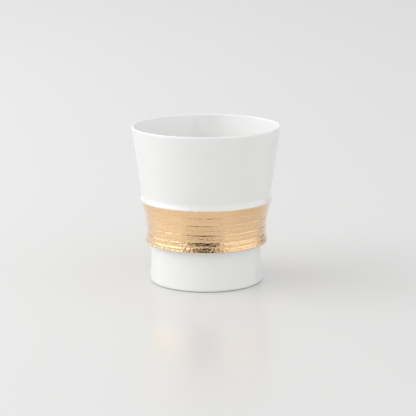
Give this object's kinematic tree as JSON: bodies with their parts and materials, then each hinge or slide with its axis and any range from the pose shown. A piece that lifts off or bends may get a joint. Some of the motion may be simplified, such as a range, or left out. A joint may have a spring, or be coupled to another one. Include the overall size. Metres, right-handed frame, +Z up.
{
  "type": "ceramic cup",
  "caption": "Handleless porcelain cup: a flared white body over a waisted, grooved gold band and a narrower white foot; holds a drink and stands on its foot ring.",
  "frame": {"origin": "the middle of the circle that the cup stands on, on the table", "axes": "+Z up along the cup's axis; X and Y are free, because the cup is round"},
  "size_m": [0.09, 0.09, 0.0953],
  "materials": {
    "porcelain": "glossy white glaze, with a band of brushed gold gilding between the ring and the foot"
  },
  "bodies": {
    "root": {"cup": "porcelain"}
  },
  "joints": []
}
